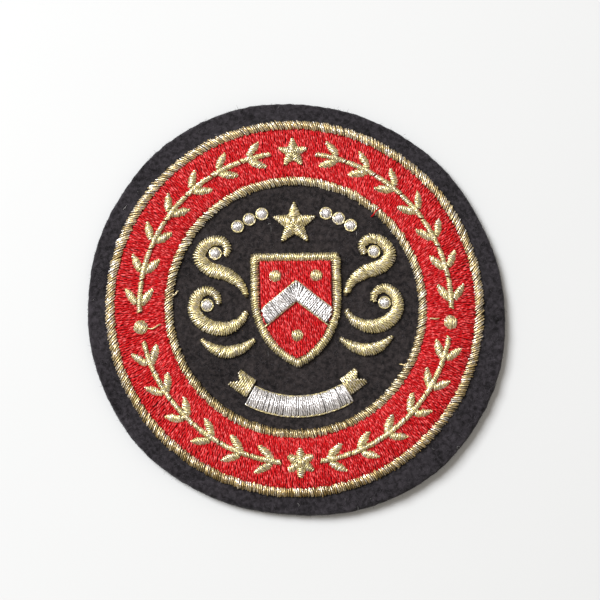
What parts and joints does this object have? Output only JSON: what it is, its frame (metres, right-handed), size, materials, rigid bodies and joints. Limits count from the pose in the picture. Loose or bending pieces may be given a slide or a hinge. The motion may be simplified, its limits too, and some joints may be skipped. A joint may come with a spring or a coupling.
{
  "type": "embroidered patch",
  "caption": "Round embroidered felt patch: a red stitched band with a gold leaf garland between gold satin rings, and a shield crest in gold and silver on bare black felt.",
  "frame": {"origin": "middle of the rings, on the flat underside of the felt", "axes": "+Z out of the embroidered face, +Y towards the top of the crest, +X to the wearer's left, which is the right of the picture"},
  "size_m": [0.0799, 0.0794, 0.0035],
  "materials": {
    "black_felt": "soft wool felt with a fine nap",
    "red_thread": "glossy rayon fill stitches",
    "gold_thread": "pale gold metallic satin stitches",
    "silver_thread": "silver metallic satin stitches"
  },
  "bodies": {
    "root": {"felt": "black_felt", "band": "red_thread", "shield_field": "red_thread", "outer_ring": "gold_thread", "inner_ring": "gold_thread", "stud_left": "gold_thread", "stud_right": "gold_thread", "band_star": "gold_thread", "band_rosette": "gold_thread", "sprig_01": "gold_thread", "sprig_02": "gold_thread", "sprig_03": "gold_thread", "sprig_04": "gold_thread", "sprig_05": "gold_thread", "sprig_06": "gold_thread", "sprig_07": "gold_thread", "sprig_08": "gold_thread", "sprig_09": "gold_thread", "sprig_10": "gold_thread", "sprig_11": "gold_thread", "sprig_12": "gold_thread", "sprig_13": "gold_thread", "sprig_14": "gold_thread", "sprig_15": "gold_thread", "sprig_16": "gold_thread", "sprig_17": "gold_thread", "sprig_18": "gold_thread", "sprig_19": "gold_thread", "sprig_20": "gold_thread", "sprig_21": "gold_thread", "sprig_22": "gold_thread", "sprig_23": "gold_thread", "sprig_24": "gold_thread", "sprig_25": "gold_thread", "sprig_26": "gold_thread", "shield_border": "gold_thread", "charge_left": "gold_thread", "charge_right": "gold_thread", "charge_base": "gold_thread", "crest_star": "gold_thread", "scroll_upper_left": "gold_thread", "scroll_upper_right": "gold_thread", "scroll_lower_left": "gold_thread", "scroll_lower_right": "gold_thread", "plume_left": "gold_thread", "plume_right": "gold_thread", "ribbon_tails": "gold_thread", "chevron": "silver_thread", "ribbon": "silver_thread", "pearl_01": "silver_thread", "pearl_02": "silver_thread", "pearl_03": "silver_thread", "pearl_04": "silver_thread", "pearl_05": "silver_thread", "pearl_06": "silver_thread", "pearl_07": "silver_thread", "pearl_08": "silver_thread", "pearl_09": "silver_thread", "pearl_10": "silver_thread"}
  },
  "joints": []
}
